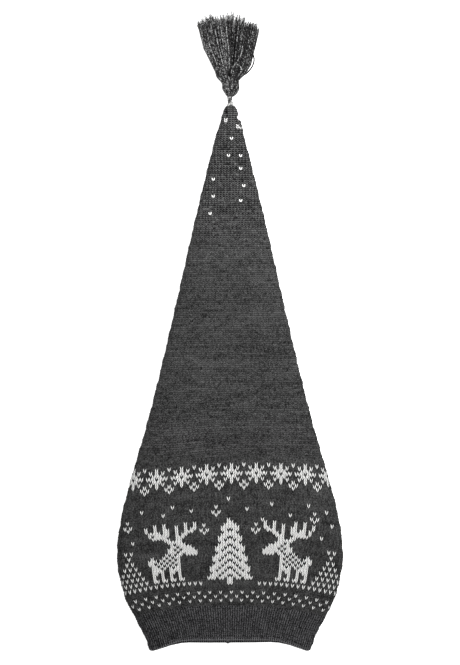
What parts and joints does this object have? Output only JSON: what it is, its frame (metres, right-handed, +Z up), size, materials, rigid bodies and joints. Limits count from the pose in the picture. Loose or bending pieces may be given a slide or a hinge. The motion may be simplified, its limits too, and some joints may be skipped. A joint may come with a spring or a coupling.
{
  "type": "knitted stocking cap",
  "caption": "Long conical knitted winter cap with a ribbed band, snow and star bands in two yarns, and a tassel on a short cord, lying flat.",
  "frame": {"origin": "under the middle of the whole hat, on the surface that it lies on", "axes": "+Y towards the tassel, +Z up through the front of the hat as it lies on its back, +X to the right seen from above"},
  "size_m": [0.2618, 0.737, 0.0329],
  "materials": {
    "charcoal_yarn": "heather wool and acrylic knit",
    "charcoal_rib": "heather knit, one by one rib",
    "white_yarn": "off-white knitting yarn",
    "tassel_yarn": "plied charcoal yarn ends"
  },
  "bodies": {
    "root": {"ribbed_band": "charcoal_rib", "crown": "charcoal_yarn", "apex_tie": "white_yarn", "tassel_cord": "tassel_yarn", "tassel_binding": "tassel_yarn", "tassel": "tassel_yarn"}
  },
  "joints": []
}
